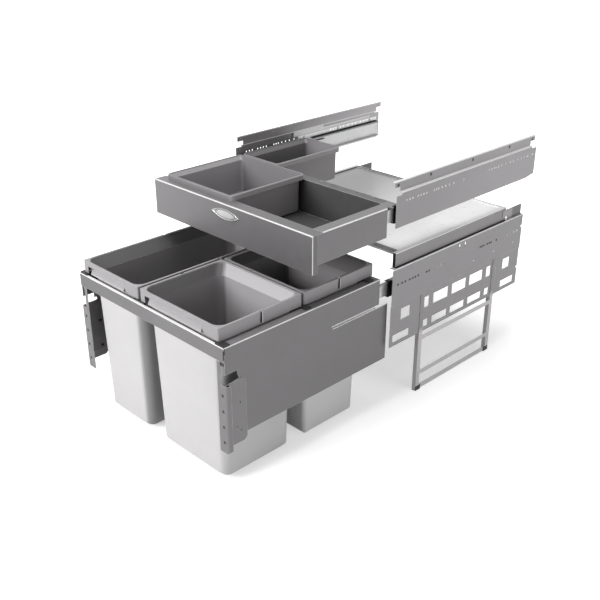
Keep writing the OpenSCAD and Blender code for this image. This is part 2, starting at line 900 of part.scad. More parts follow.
module side_panel(side) {
    notch_z = frame_z - bracket_down;
    color(steel_grey) on_side(side) along_x(panel_in, panel_out) difference() {
        union() {
            rect([panel_y, panel_z], [panel_low_end, slot_z + slot_h]);
            rect([panel_y, panel_z], [panel_end, frame_z]);
        }
        rect([slot_y, slot_z], [panel_low_end + over, slot_z + slot_h]);
        translate([slot_y, slot_z + slot_h / 2]) circle(d = slot_h, $fn = corner_fn);
        polygon([
            [panel_y - over, notch_z],
            [panel_y + panel_notch_l, notch_z + panel_notch_slope],
            [panel_y + panel_notch_l - panel_notch_slope, notch_z + panel_notch_h],
            [panel_y - over, notch_z + panel_notch_h]
        ]);
        for (up = bracket_screw_ups) {
            translate([bracket_screw_y, bracket_side_z + up]) circle(d = screw_hole_d, $fn = 24);
        }
    }
}

module side_rail(side) {
    color(steel_grey) on_side(side) along_y(panel_y + corner_l, panel_end) {
        rect([channel_in, frame_z - side_rail_h], [channel_in + sheet_t, frame_z]);
        rect([channel_in, frame_z - sheet_t], [panel_in, frame_z]);
    }
}

module corner_block(side) {
    color(black) on_side(side) {
        block([channel_in, panel_y, frame_z + rest_t - corner_h - rest_h],
            [panel_in, panel_y + corner_l, frame_z + rest_t]);
        block([channel_in - rest_in, panel_y, frame_z + rest_t - rest_h],
            [channel_in, panel_y + corner_l, frame_z + rest_t]);
    }
}

module rear_member() {
    color(steel_grey) along_x(-channel_in, channel_in) {
        rect([panel_end - sheet_t, frame_z - rear_member_h], [panel_end, frame_z]);
        rect([panel_end - rear_member_w, frame_z - sheet_t], [panel_end, frame_z]);
    }
}

module bin_rests() {
    centre_x = (left_rim_end + right_rim_x) / 2;
    rest_mid_y = (bin_mid_y0 + bin_mid_y1) / 2;
    color(black) {
        for (side = [-1, 1]) {
            on_side(side) {
                for (y = [rest_mid_y, panel_end - rest_back]) {
                    block([channel_in - rest_in, y - rest_l / 2, frame_z],
                        [channel_in + rest_out, y + rest_l / 2, frame_z + rest_t]);
                }
                block([channel_in - rest_in, rest_mid_y - rest_l / 2, frame_z - rest_h],
                    [channel_in, rest_mid_y + rest_l / 2, frame_z + rest_t]);
            }
        }
        block([centre_x - centre_rest_w / 2, frame_y + rail_fold_top, frame_z - rest_h + rest_t],
            [centre_x + centre_rest_w / 2, frame_y + rail_fold_top + rest_in, frame_z + rest_t]);
        block([centre_x - centre_rest_w / 2, panel_end - rear_member_w, frame_z],
            [centre_x + centre_rest_w / 2, panel_end, frame_z + rest_t]);
    }
}

// Door brackets

module door_bracket(side) {
    color(steel_grey) on_side(side) difference() {
        union() {
            bracket_front();
            bracket_side();
            block([bracket_out - bracket_w, frame_y, bracket_z + bracket_h],
                [bracket_out - bracket_w + bracket_strip_w, panel_y, frame_z - rail_h]);
        }
        for (i = [0 : 3]) {
            door_hole(door_hole_z - i * door_pitch, i == 0 || i == 3 ? door_slot_l : door_hole_d);
        }
        hole_x(panel_out - over, bracket_out, bracket_slot_y, bracket_side_z + bracket_slot_up, screw_hole_d);
        for (up = bracket_screw_ups) {
            hole_x(panel_out - over, bracket_out, bracket_screw_y, bracket_side_z + up, screw_hole_d);
        }
    }
}

// Front strip of a door bracket with its round outer fold
module bracket_front() {
    difference() {
        translate([0, 0, bracket_z]) linear_extrude(bracket_h) difference() {
            union() {
                rect([bracket_out - bracket_w, frame_y], [bracket_out, panel_y]);
                rect([bracket_out - leg_t, frame_y], [bracket_out, frame_y + bracket_fold]);
                rect([panel_out, frame_y + bracket_fold - leg_t], [bracket_out, frame_y + bracket_fold]);
            }
            difference() {
                rect([bracket_out - bracket_r, frame_y - over], [bracket_out + over, frame_y + bracket_r]);
                translate([bracket_out - bracket_r, frame_y + bracket_r]) circle(bracket_r, $fn = corner_fn);
            }
        }
        along_y(frame_y - over, frame_y + bracket_fold + over) difference() {
            rect([bracket_out - bracket_foot_r, bracket_z - over],
                [bracket_out + over, bracket_z + bracket_foot_r]);
            translate([bracket_out - bracket_foot_r, bracket_z + bracket_foot_r]) {
                circle(bracket_foot_r, $fn = corner_fn);
            }
        }
    }
}

// Side plate of a door bracket on the outside of the side panel
module bracket_side() {
    along_x(panel_out, panel_out + leg_t) polygon([
        [frame_y + bracket_fold - leg_t, bracket_side_z],
        [bracket_side_end - bracket_foot_r, bracket_side_z],
        [bracket_side_end, bracket_side_z + bracket_foot_r],
        [bracket_side_end, bracket_side_z + bracket_side_h - bracket_foot_r],
        [bracket_side_end - bracket_foot_r, bracket_side_z + bracket_side_h],
        [frame_y + bracket_fold - leg_t, bracket_side_z + bracket_side_h]
    ]);
}

// Door screw hole, slotted sideways where it is longer than it is high
module door_hole(z, l) {
    along_y(frame_y - over, panel_y + over) {
        reach = (l - door_hole_d) / 2;
        if (reach > 0) {
            rect([door_hole_x - reach, z - door_hole_d / 2], [door_hole_x + reach, z + door_hole_d / 2]);
            for (x = [door_hole_x - reach, door_hole_x + reach]) {
                translate([x, z]) circle(d = door_hole_d, $fn = 24);
            }
        } else {
            translate([door_hole_x, z]) circle(d = door_hole_d, $fn = 24);
        }
    }
}

module door_bracket_screws() {
    color(black) for (side = [-1, 1], up = bracket_screw_ups) {
        on_side(side) {
            screw_x(panel_in - screw_head_h, panel_out + leg_t, bracket_screw_y, bracket_side_z + up);
        }
    }
}

// Bins

// One bin: a tapered tub that flares out to its lip, in plan from a to b of its rim
module bin(a, b, in_a, in_b, r) {
    top_a = a + in_a;
    top_b = b - in_b;
    low = [bin_draft, bin_draft];
    foot = low + [bin_foot_r, bin_foot_r];
    wall = [bin_wall, bin_wall];
    mouth_a = a + [rim_w, rim_w];
    mouth_b = b - [rim_w, rim_w];
    lip_z = rim_z - bin_wall;
    shoulder_z = rim_z - bin_funnel_h;
    foot_z = bin_floor_z + bin_foot_r;
    color(bin_grey) {
        difference() {
            union() {
                hull() {
                    tube_at(lip_z - bin_wall, lip_z, mouth_a - wall, mouth_b + wall, bin_r);
                    slice_at(shoulder_z - bin_wall, top_a, top_b, r);
                }
                hull() {
                    slice_at(shoulder_z - bin_wall, top_a, top_b, r);
                    slice_at(foot_z, top_a + low, top_b - low, r);
                    slice_at(bin_floor_z, top_a + foot, top_b - foot, r - bin_foot_r);
                }
            }
            hull() {
                tube_at(lip_z, rim_z, mouth_a, mouth_b, bin_r);
                slice_at(shoulder_z, top_a + wall, top_b - wall, r);
            }
            hull() {
                slice_at(shoulder_z, top_a + wall, top_b - wall, r);
                slice_at(foot_z, top_a + low + wall, top_b - low - wall, r);
                slice_at(bin_floor_z + bin_wall, top_a + foot + wall, top_b - foot - wall,
                    r - bin_foot_r);
            }
        }
        bin_grip(a, b);
    }
}

// Ramp of the finger grip, which shows through the opening in the rim's skirt
module bin_grip(a, b) {
    ramp_y = a.y + rim_w;
    along_x(a.x + rim_w + bin_r, b.x - grip_right - grip_slope) polygon([
        [a.y, skirt_z],
        [a.y + bin_wall, skirt_z],
        [ramp_y, skirt_z + grip_ramp_h],
        [ramp_y, skirt_z + grip_ramp_h + bin_wall],
        [a.y, skirt_z + bin_wall]
    ]);
}

// Rim frame that lies over the lip of a bin, with a deep skirt outside
module bin_rim(a, b) {
    wall = [bin_wall, bin_wall];
    mid_y = (a.y + b.y) / 2;
    color(rim_grey) difference() {
        union() {
            translate([0, 0, rim_z - bin_wall]) linear_extrude(bin_wall) difference() {
                round_rect(a, b, rim_r);
                round_rect(a + [rim_w, rim_w], b - [rim_w, rim_w], bin_r);
            }
            translate([0, 0, skirt_z]) linear_extrude(skirt_h) difference() {
                round_rect(a, b, rim_r);
                rect(a + wall, b - wall);
            }
        }
        for (x = [a.x, b.x]) {
            block([x - notch_deep, mid_y - notch_w / 2, rim_z - notch_deep],
                [x + notch_deep, mid_y + notch_w / 2, rim_z + over]);
            block([x - bin_wall, mid_y - notch_w / 2, skirt_z - over],
                [x + bin_wall, mid_y, rim_z + over]);
        }
        along_y(a.y - over, a.y + bin_wall + over) polygon([
            [a.x + grip_left, skirt_z - over],
            [a.x + grip_left, skirt_z + grip_h],
            [b.x - grip_right - grip_slope, skirt_z + grip_h],
            [b.x - grip_right, skirt_z - over]
        ]);
    }
}

module bin_left() {
    bin([left_rim_x, bin_y], [left_rim_end, bin_end], [left_bin_in, bin_front_in],
        [left_bin_side, bin_end_in], bin_r);
}

module bin_front_right() {
    bin([right_rim_x, bin_y], [right_rim_end, bin_mid_y0], [right_bin_in, bin_front_in],
        [right_bin_side, bin_back_in], bin_r);
}

module bin_rear_right() {
    bin([right_rim_x, bin_mid_y1], [right_rim_end, bin_end], [right_bin_in, bin_front_in],
        [right_bin_side, bin_end_in], rear_bin_r);
}

module bin_rim_left() {
    bin_rim([left_rim_x, bin_y], [left_rim_end, bin_end]);
}

module bin_rim_front_right() {
    bin_rim([right_rim_x, bin_y], [right_rim_end, bin_mid_y0]);
}

module bin_rim_rear_right() {
    bin_rim([right_rim_x, bin_mid_y1], [right_rim_end, bin_end]);
}

// Drawer

module drawer_front() {
    half = drawer_w / 2;
    color(steel_grey) {
        block([-half, drawer_y, front_z], [half, drawer_y + sheet_t, drawer_z]);
        block([-half, drawer_y, drawer_z - sheet_t], [half, drawer_y + ledge_w, drawer_z]);
        for (x = [-half, half - sheet_t]) {
            block([x, drawer_y, front_z], [x + sheet_t, drawer_y + front_return, drawer_z]);
        }
    }
}

module drawer_side(side) {
    color(steel_grey) on_side(side) {
        block([side_skin_in, drawer_y + sheet_t, side_z], [side_out, side_skin_end, drawer_z - sheet_t]);
        block([side_in, drawer_y + ledge_w, drawer_z - sheet_t], [side_out, side_skin_end, drawer_z]);
        block([side_in, side_skin_end, drawer_z - sheet_t], [rear_side_x, rear_end, drawer_z]);
        block([side_in, drawer_y + ledge_w, floor_z], [side_in + sheet_t, pan_end + sheet_t, drawer_z]);
    }
}

module drawer_pan() {
    color(steel_grey) difference() {
        along_x(-side_in, side_in) {
            rect([pan_y, floor_z], [pan_end + sheet_t, floor_z + sheet_t]);
            rect([pan_y, floor_z], [pan_y + sheet_t, drawer_z - sheet_t]);
            rect([pan_end, floor_z], [pan_end + sheet_t, drawer_z]);
            rect([pan_end, drawer_z - sheet_t], [rear_end, drawer_z]);
            rect([rear_end - sheet_t, drawer_z - rear_fold], [rear_end, drawer_z]);
        }
        for (share = rear_slot_shares) {
            block([share[0] * side_in, rear_end - rear_slot_in, drawer_z - sheet_t - over],
                [share[1] * side_in, rear_end - rear_slot_in + rear_slot_w, drawer_z + over]);
        }
    }
}

module drawer_badge() {
    radius = (badge_w * badge_w + badge_h * badge_h) / (4 * badge_h);
    color(zinc) translate([badge_x, drawer_y, badge_z]) rotate([90, 0, 0]) difference() {
        linear_extrude(badge_t + badge_rise) lens(radius, badge_h);
        translate([0, 0, badge_t]) linear_extrude(badge_rise + over) {
            lens(radius - badge_rim, badge_h - badge_rim);
        }
    }
}

// Pointed oval between two arcs
module lens(radius, h) {
    reach = radius - h / 2;
    intersection() {
        translate([0, reach]) circle(radius, $fn = 128);
        translate([0, -reach]) circle(radius, $fn = 128);
    }
}

// Angle on the left drawer slide that carries the rear container
module container_carrier() {
    color(steel_grey) on_side(-1) along_y(rear_end, drawer_slide_end) {
        rect([side_in, drawer_z - sheet_t], [rear_side_x, drawer_z]);
        rect([side_in, drawer_z - carrier_rise], [side_in + sheet_t, drawer_z]);
    }
}

// Containers

// One container: a tapered tub whose hollow rim stands on the drawer edges
module container(a, b, h, in_a, in_b) {
    top_a = a + in_a;
    top_b = b - in_b;
    wall = [box_wall, box_wall];
    low = [box_draft, box_draft];
    foot = low + [box_foot_r, box_foot_r];
    lip = [box_lip, box_lip];
    edge = [box_edge, box_edge];
    low_z = box_rim_z - h;
    color(box_grey) difference() {
        union() {
            difference() {
                hull() {
                    tube_at(drawer_z, box_rim_z - box_edge, a, b, box_r);
                    slice_at(box_rim_z - slice, a + edge, b - edge, box_r - box_edge);
                }
                tube_at(drawer_z - over, box_rim_z - box_wall, a + wall, b - wall, box_r - box_wall);
            }
            hull() {
                tube_at(box_rim_z - 2 * box_wall, box_rim_z - box_edge, a + lip - wall / 2, b - lip + wall / 2,
                    box_r - box_lip + box_wall / 2);
                slice_at(drawer_z, top_a, top_b, box_body_r);
            }
            hull() {
                slice_at(drawer_z, top_a, top_b, box_body_r);
                slice_at(low_z + box_foot_r, top_a + low, top_b - low, box_body_r);
                slice_at(low_z, top_a + foot, top_b - foot, box_body_r - box_foot_r);
            }
        }
        hull() {
            tube_at(box_rim_z - box_wall, box_rim_z + over, a + lip, b - lip, box_r - box_lip);
            slice_at(drawer_z + box_wall, top_a + wall, top_b - wall, box_body_r - box_wall);
        }
        hull() {
            slice_at(drawer_z + box_wall, top_a + wall, top_b - wall, box_body_r - box_wall);
            slice_at(low_z + box_foot_r, top_a + low + wall, top_b - low - wall, box_body_r - box_wall);
            slice_at(low_z + box_wall, top_a + foot + wall, top_b - foot - wall,
                box_body_r - box_foot_r - box_wall);
        }
    }
}

module container_front() {
    container([front_box_x, front_box_y], [front_box_x + front_box_w, front_box_end], front_box_h,
        front_lap, front_lap_end);
}

module container_rear() {
    container([rear_box_x, rear_box_y], [rear_box_x + rear_box_w, rear_box_y + rear_box_d], rear_box_h,
        rear_lap, rear_lap_end);
}

lower_plate(-1);  // lower_plate_left
lower_plate(1);  // lower_plate_right
upper_plate(-1);  // upper_plate_left
upper_plate(1);  // upper_plate_right
leg_frame(-1);  // leg_frame_left
leg_frame(1);  // leg_frame_right
leg_feet();
lid_pan();
lid_rail(-1);  // lid_rail_left
lid_rail(1);  // lid_rail_right
lid_bracket(-1);  // lid_bracket_left
lid_bracket(1);  // lid_bracket_right
lid_screws();
bin_cabinet_runner(-1);  // bin_cabinet_runner_left
bin_cabinet_runner(1);  // bin_cabinet_runner_right
bin_runner_screws();
bin_middle_runner(-1);  // bin_middle_runner_left
bin_middle_runner(1);  // bin_middle_runner_right
bin_outer_balls();
bin_inner_balls();
bin_slide(-1);  // bin_slide_left
bin_slide(1);  // bin_slide_right
front_rail();
side_panel(-1);  // side_panel_left
side_panel(1);  // side_panel_right
side_rail(-1);  // side_rail_left
side_rail(1);  // side_rail_right
corner_block(-1);  // corner_block_left
corner_block(1);  // corner_block_right
rear_member();
bin_rests();
door_bracket(-1);  // door_bracket_left
door_bracket(1);  // door_bracket_right
door_bracket_screws();
bin_left();
bin_front_right();
bin_rear_right();
bin_rim_left();
bin_rim_front_right();
bin_rim_rear_right();
drawer_standoff(-1);  // drawer_standoff_left
drawer_standoff(1);  // drawer_standoff_right
drawer_standoff_screws();
drawer_cabinet_runner(-1);  // drawer_cabinet_runner_left
drawer_cabinet_runner(1);  // drawer_cabinet_runner_right
drawer_middle_runner(-1);  // drawer_middle_runner_left
drawer_middle_runner(1);  // drawer_middle_runner_right
drawer_outer_balls();
drawer_inner_balls();
drawer_slide(-1);  // drawer_slide_left
drawer_slide(1);  // drawer_slide_right
drawer_front();
drawer_side(-1);  // drawer_side_left
drawer_side(1);  // drawer_side_right
drawer_pan();
drawer_badge();
container_carrier();
container_front();
container_rear();
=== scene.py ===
import json
import math

import bmesh
import bpy
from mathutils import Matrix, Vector


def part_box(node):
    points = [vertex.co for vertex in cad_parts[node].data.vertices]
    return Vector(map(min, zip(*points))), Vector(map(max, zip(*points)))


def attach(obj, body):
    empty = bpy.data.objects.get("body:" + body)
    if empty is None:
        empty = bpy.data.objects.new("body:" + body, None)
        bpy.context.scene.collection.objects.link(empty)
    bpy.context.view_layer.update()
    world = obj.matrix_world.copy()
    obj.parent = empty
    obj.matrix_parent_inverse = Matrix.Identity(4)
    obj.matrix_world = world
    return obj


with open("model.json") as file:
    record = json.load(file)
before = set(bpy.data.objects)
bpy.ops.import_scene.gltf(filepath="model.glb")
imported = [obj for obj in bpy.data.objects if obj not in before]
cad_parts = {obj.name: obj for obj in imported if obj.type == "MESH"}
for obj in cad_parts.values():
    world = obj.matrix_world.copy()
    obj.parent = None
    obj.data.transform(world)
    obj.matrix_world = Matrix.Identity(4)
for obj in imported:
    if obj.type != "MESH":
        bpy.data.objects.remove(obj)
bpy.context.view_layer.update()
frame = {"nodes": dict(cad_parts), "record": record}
nodes = frame["nodes"]
scene = bpy.context.scene

# Camera at the photographed angle: lens in millimetres, place in metres, turns in degrees
lens, sensor_width, clip_end = 52.52, 36, 50
camera_place = (1.4837, -1.4956, 1.2259)
camera_down, camera_turn = 25.72, 45.43

cam_data = bpy.data.cameras.new("camera")
cam_data.lens = lens
cam_data.sensor_width = sensor_width
cam_data.clip_end = clip_end
camera = bpy.data.objects.new("camera", cam_data)
camera.location = camera_place
camera.rotation_euler = (math.radians(90 - camera_down), 0, math.radians(camera_turn))
scene.collection.objects.link(camera)
scene.camera = camera
scene.view_settings.view_transform = "Standard"


# Materials. A level is a shade of grey from 0 to 255 as it looks on the screen, and a hue holds
# the shares of red, green and blue in it. All lengths are in metres.
neutral = (1.0, 1.0, 1.0)
paint = (1.0, 0.965, 0.995)
bin_hue = (1, 0.985, 0.985)
metal_hue = (1, 1, 1.01)


def srgb(v):
    """Linear value of a level"""
    v /= 255
    return v / 12.92 if v <= 0.04045 else ((v + 0.055) / 1.055) ** 2.4


def grey(level, hue=neutral):
    return tuple(srgb(level) * c for c in hue)


def opaque(colour):
    return (*colour, 1)


class Tree:
    """Node tree with short calls for the nodes that it uses most"""

    def __init__(self, tree):
        self.tree = tree
        tree.nodes.clear()

    def add(self, kind, sockets=None, **props):
        """New node with its properties, and its inputs set or linked"""
        made = self.tree.nodes.new(kind)
        for key, value in props.items():
            setattr(made, key, value)
        for key, value in (sockets or {}).items():
            if isinstance(value, bpy.types.NodeSocket):
                self.tree.links.new(value, made.inputs[key])
            else:
                made.inputs[key].default_value = value
        return made

    def math(self, op, a, b=0.0, clamp=False):
        return self.add("ShaderNodeMath", {0: a, 1: b}, operation=op, use_clamp=clamp).outputs[0]

    def near(self, value, middle, half):
        """1 where the value is within half of the middle, and 0 elsewhere"""
        sockets = {0: value, 1: middle, 2: half}
        return self.add("ShaderNodeMath", sockets, operation="COMPARE").outputs[0]

    def ramp(self, value, lo, hi, out_lo=0.0, out_hi=1.0):
        sockets = {"Value": value, "From Min": lo, "From Max": hi, "To Min": out_lo,
                   "To Max": out_hi}
        return self.add("ShaderNodeMapRange", sockets).outputs[0]

    def mix(self, factor, a, b):
        """Colour between a and b, which are inputs 6 and 7 of the node"""
        return self.add("ShaderNodeMix", {0: factor, 6: a, 7: b}, data_type="RGBA").outputs[2]

    def noise(self, vector, scale, detail=3.0, rough=0.55):
        sockets = {"Vector": vector, "Scale": scale, "Detail": detail, "Roughness": rough}
        return self.add("ShaderNodeTexNoise", sockets).outputs["Fac"]

    def axes(self, vector):
        return self.add("ShaderNodeSeparateXYZ", {0: vector}).outputs

    def facing(self):
        """Parts along X, Y and Z of the way a flat face looks"""
        return self.axes(self.add("ShaderNodeNewGeometry").outputs["True Normal"])

    def openness(self, distance):
        """0 in a deep hollow and 1 on a free surface"""
        made = self.add("ShaderNodeAmbientOcclusion", {"Distance": distance}, samples=ao_samples)
        return made.outputs["AO"]

    def directly_seen(self):
        """1 for a ray that shows the surface to the camera, straight, mirrored or through glass"""
        ray = self.add("ShaderNodeLightPath").outputs
        seen = self.math("MAXIMUM", ray["Is Camera Ray"], ray["Is Glossy Ray"])
        return self.math("MAXIMUM", seen, ray["Is Transmission Ray"])


def new_material(name):
    mat = bpy.data.materials.new(name)
    mat.use_nodes = True
    return mat, Tree(mat.node_tree)


def band_mask(t, axes, rows):
    """1 where all bands of any row hold, and 0 elsewhere"""
    mask = None
    for bands in rows:
        part = None
        for axis, low, high in bands:
            inside = t.near(axes[axis], (low + high) / 2, (high - low) / 2)
            part = inside if part is None else t.math("MULTIPLY", part, inside)
        mask = part if mask is None else t.math("MAXIMUM", mask, part)
    return mask


# What all finishes share: noise in waves per metre, its usual range and its shares, the cosine
# at which the painted highlight on an edge is full, how dark the painted shade gets along an axis,
# in hollows and in gaps, and how strong the painted highlight bands are
cloud_scale, patch_scale, break_scale = 9.0, 60.0, 45.0
cloud_detail, fine_detail = 4.0, 2.0
noise_range = (0.3, 0.7)
break_range, break_least = (0.35, 0.6), 0.45
cloud_share, patch_share, fine_share = 0.6, 0.4, 0.5
edge_cosine = 0.82
shade_ramp_share, hollow_shade_share, highlight_share = 0.3, 0.15, 0.85
hollow_shade_range = (0.12, 0.55)
gap_shade_colour = (0.01, 0.01, 0.01, 1)
rough_spread, bump_height = 0.06, 0.0006
bevel_samples, ao_samples = 6, 8
materials = {}


def finish(name, colour, highlight_colour, rough, metal=0.0, radius=0.001, mottle=0.08, grain=900.0,
           bump=0.04, stretch=(1, 1, 1), edge_highlight=0.6, hollow_shade=0.0, depth=0.12, highlights=(), gap_shade=(),
           shade_ramp=None, tint=None):
    """Material with cloudy colour, fine grain, painted shade in hollows, and rounded edges with a
    painted highlight broken up by noise.

    The highlight bands hold painted highlights on folds, and the gap shade bands hold painted
    shade in
    gaps: each is a list of bands (axis, low, high) that all have to hold. The shade ramp is (axis,
    from, to, share), and paints shade that darkens the finish along that axis.
    tint is a function that takes the tree, the place and the colour so far, and returns a colour:
    painted light and shade on the bins and containers, and the pattern on the badge.
    """
    mat, t = new_material(name)
    place = t.add("ShaderNodeTexCoord").outputs["Object"]
    axes = t.axes(place)
    cloud = t.noise(place, cloud_scale, cloud_detail)
    patch = t.noise(place, patch_scale)
    fine_place = t.add("ShaderNodeMapping", {"Vector": place, "Scale": stretch}).outputs[0]
    fine = t.noise(fine_place, grain, fine_detail)

    # Painted highlight on edges, where the rounded normal turns from the face, broken up by noise
    bevel = t.add("ShaderNodeBevel", {"Radius": radius}, samples=bevel_samples).outputs[0]
    plain = t.add("ShaderNodeNewGeometry").outputs["Normal"]
    product = t.add("ShaderNodeVectorMath", {0: bevel, 1: plain}, operation="DOT_PRODUCT")
    edge = t.ramp(product.outputs["Value"], 1.0, edge_cosine)
    broken = t.ramp(t.noise(place, break_scale), *break_range, break_least, 1.0)
    edge = t.math("MULTIPLY", t.math("MULTIPLY", edge, broken), edge_highlight, True)

    dark = opaque(c * (1 - mottle * 2) for c in colour)
    light = opaque(min(1, c * (1 + mottle)) for c in colour)
    tone = t.math("ADD", t.math("MULTIPLY", cloud, cloud_share),
                  t.math("MULTIPLY", patch, patch_share))
    body = t.mix(t.ramp(tone, *noise_range), dark, light)
    body = t.mix(t.ramp(fine, *noise_range, 0.0, fine_share), body, opaque(colour))
    # Painted shade, darkening along one axis
    if shade_ramp:
        axis, start, end, most = shade_ramp
        share = t.ramp(axes[axis], start, end, 0.0, most)
        body = t.mix(share, body, opaque(c * shade_ramp_share for c in colour))
    if tint:
        body = tint(t, axes, body)
    # Painted shade in hollows, darker where a place is more enclosed
    if hollow_shade:
        hollow = t.ramp(t.openness(depth), *hollow_shade_range, hollow_shade, 0.0)
        body = t.mix(hollow, body, opaque(c * hollow_shade_share for c in colour))
    # Painted highlights in the listed bands
    if highlights:
        bright = t.math("MULTIPLY", band_mask(t, axes, highlights), highlight_share)
        edge = t.math("MAXIMUM", edge, bright)
    body = t.mix(edge, body, opaque(highlight_colour))
    # Painted shade: near-black bands in gaps and holes
    if gap_shade:
        body = t.mix(band_mask(t, axes, gap_shade), body, gap_shade_colour)

    level = t.ramp(patch, *noise_range, rough - rough_spread, rough + rough_spread)
    level = t.math("ADD", level, t.math("MULTIPLY", fine, rough_spread))
    sockets = {"Strength": bump, "Distance": bump_height, "Height": fine, "Normal": bevel}
    normal = t.add("ShaderNodeBump", sockets).outputs[0]
    sockets = {"Base Color": body, "Roughness": level, "Normal": normal, "Metallic": metal}
    shader = t.add("ShaderNodeBsdfPrincipled", sockets)
    t.add("ShaderNodeOutputMaterial", {0: shader.outputs[0]})
    materials[name] = mat


def painted(name, level, hollow_shade=0.3, highlights=(), gap_shade=(), shade_ramp=None):
    """Satin grey paint on folded steel"""
    finish(name, grey(level, paint), grey(250), rough=0.38, metal=0.15, radius=0.0014, mottle=0.05,
           grain=1400, bump=0.05, edge_highlight=0.8, hollow_shade=hollow_shade, highlights=highlights, gap_shade=gap_shade, shade_ramp=shade_ramp)


def plated(name, level, hollow_shade=0.5, highlights=(), gap_shade=()):
    """Bright zinc plating, brushed along Y"""
    finish(name, grey(level, metal_hue), grey(252), rough=0.34, metal=0.8, radius=0.0008,
           mottle=0.14, grain=900, bump=0.14, stretch=(1, 0.03, 1), hollow_shade=hollow_shade, depth=0.03,
           highlights=highlights, gap_shade=gap_shade)


# Painted light and shade on a bin, by the way a face looks, by height and by depth. A turn is how
# far a face looks along an axis where its painted tone starts and where it holds in full.
wall_turn, side_turn, front_turn = (0.1, 0.45), (0.2, 0.55), (-0.1, -0.5)
collar_shade_level, collar_front_light_level, back_wall_light_level, deep_shade_level = 162, 171, 180, 60
seam_blend, lip_blend = 0.003, 0.001
lip_drop, lip_shade_share = 0.0265, 0.6
deep_shade_reach, deep_shade_range, deep_shade_shares = 0.3, (0.1, 0.5), (0.15, 0.4)


def bin_painted_light(node, left_shade_level, side_light_level):
    """Painted light and shade of one bin: on its right side, on its collar, on its back and left
    inner walls, and down inside
    """
    low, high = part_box(node)
    middle = [(a + b) / 2 for a, b in zip(low, high)]
    seam_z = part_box("bin_rim_left")[0][2]
    lip_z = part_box("bin_rim_left")[1][2] - lip_drop

    def tint(t, axes, body):
        facing = t.facing()
        on_left = t.math("LESS_THAN", axes["X"], middle[0])
        on_right = t.math("SUBTRACT", 1.0, on_left)
        on_back = t.math("GREATER_THAN", axes["Y"], middle[1])
        on_front = t.math("SUBTRACT", 1.0, on_back)
        back_turn = [-turn for turn in wall_turn]
        left_wall = t.math("MULTIPLY", t.ramp(facing["X"], *wall_turn), on_left)
        back_wall = t.math("MULTIPLY", t.ramp(facing["Y"], *back_turn), on_back)
        right_side = t.math("MULTIPLY", t.ramp(facing["X"], *side_turn), on_right)
        front = t.math("MULTIPLY", t.ramp(facing["Y"], *front_turn), on_front)
        deep = t.math("MULTIPLY", t.ramp(t.openness(deep_shade_reach), *deep_shade_range, 1.0, 0.0),
                      t.ramp(left_wall, 0.0, 1.0, *deep_shade_shares))
        # Painted light and shade: the right side, the collar, the back wall, the left inner wall
        # and the deep inside each get their own tone
        body = t.mix(right_side, body, opaque(grey(side_light_level)))
        collar = t.mix(front, opaque(grey(collar_shade_level, paint)),
                       opaque(grey(collar_front_light_level, paint)))
        body = t.mix(t.ramp(axes["Z"], seam_z, seam_z + seam_blend), body, collar)
        body = t.mix(back_wall, body, opaque(grey(back_wall_light_level, paint)))
        wall = t.mix(t.ramp(axes["Z"], lip_z - lip_blend, lip_z + lip_blend),
                     opaque(grey(left_shade_level, paint)), opaque(grey(lip_shade_share * left_shade_level, paint)))
        body = t.mix(left_wall, body, wall)
        return t.mix(deep, body, opaque(grey(deep_shade_level)))

    return tint


def bin_finish(name, node, left_shade_level, side_light_level):
    finish(name, grey(214, bin_hue), grey(236), rough=0.5, radius=0.002, mottle=0.03, grain=1300,
           bump=0.12, tint=bin_painted_light(node, left_shade_level, side_light_level))


ring_reach, ring_half, ring_level, ring_share = 0.5, 0.08, 110, 0.6
field_range, field_level, field_share = (0.4, 0.3), 225, 0.45


def badge_tint(t, axes, body):
    """Darker ring and a lighter field inside the pointed oval"""
    low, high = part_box("drawer_badge")
    parts = []
    for axis, i in (("X", 0), ("Z", 2)):
        shifted = t.math("SUBTRACT", axes[axis], (low[i] + high[i]) / 2)
        share = t.math("ABSOLUTE", t.math("DIVIDE", shifted, (high[i] - low[i]) / 2))
        parts.append(t.math("POWER", share, 2.0))
    reach = t.math("ADD", *parts)
    ring = t.near(reach, ring_reach, ring_half)
    body = t.mix(t.ramp(reach, *field_range, 0.0, field_share), body, opaque(grey(field_level)))
    return t.mix(t.math("MULTIPLY", ring, ring_share), body, opaque(grey(ring_level)))


container_turn = (0.3, 0.8)
container_light_level, container_end_light_level, container_end_x = 162, 112, -0.2


def container_painted_light(t, axes, body):
    """Painted light: lighter walls where they look to the right, less so at the rear container's
    left end
    """
    facing = t.facing()
    rear_end = t.math("MULTIPLY", t.math("GREATER_THAN", axes["Y"], 0.0),
                      t.math("LESS_THAN", axes["X"], container_end_x))
    wall = t.mix(rear_end, opaque(grey(container_light_level, paint)),
                 opaque(grey(container_end_light_level, paint)))
    return t.mix(t.ramp(facing["X"], *container_turn), body, wall)


# Places of holes, folds and gaps, for painted highlights and painted shade. A row holds the shares
# of the plate's depth where its holes are, from the front.
lower_d, lower_row_z = 0.56, 0.342
upper_d, upper_row_z, strip_row_z = 0.588, 0.553, 0.593
# Holes that get painted shade
shaded_hole_row = (0.036, 0.063, 0.086, 0.116, 0.136, 0.154, 0.175, 0.234, 0.252, 0.646, 0.66, 0.675,
            0.702, 0.72, 0.734, 0.779)
# Holes that get a painted highlight
lit_hole_row = (0.282, 0.314, 0.339, 0.364, 0.87, 0.9, 0.93, 0.96)
# Holes of the upper plates and standoffs, which get a painted highlight
upper_row = (0.063, 0.082, 0.1, 0.134, 0.152, 0.17, 0.189, 0.238, 0.253, 0.267, 0.29, 0.315, 0.34,
             0.372, 0.629, 0.648, 0.668, 0.7, 0.724, 0.755, 0.79, 0.815, 0.854, 0.88, 0.905, 0.934,
             0.974)
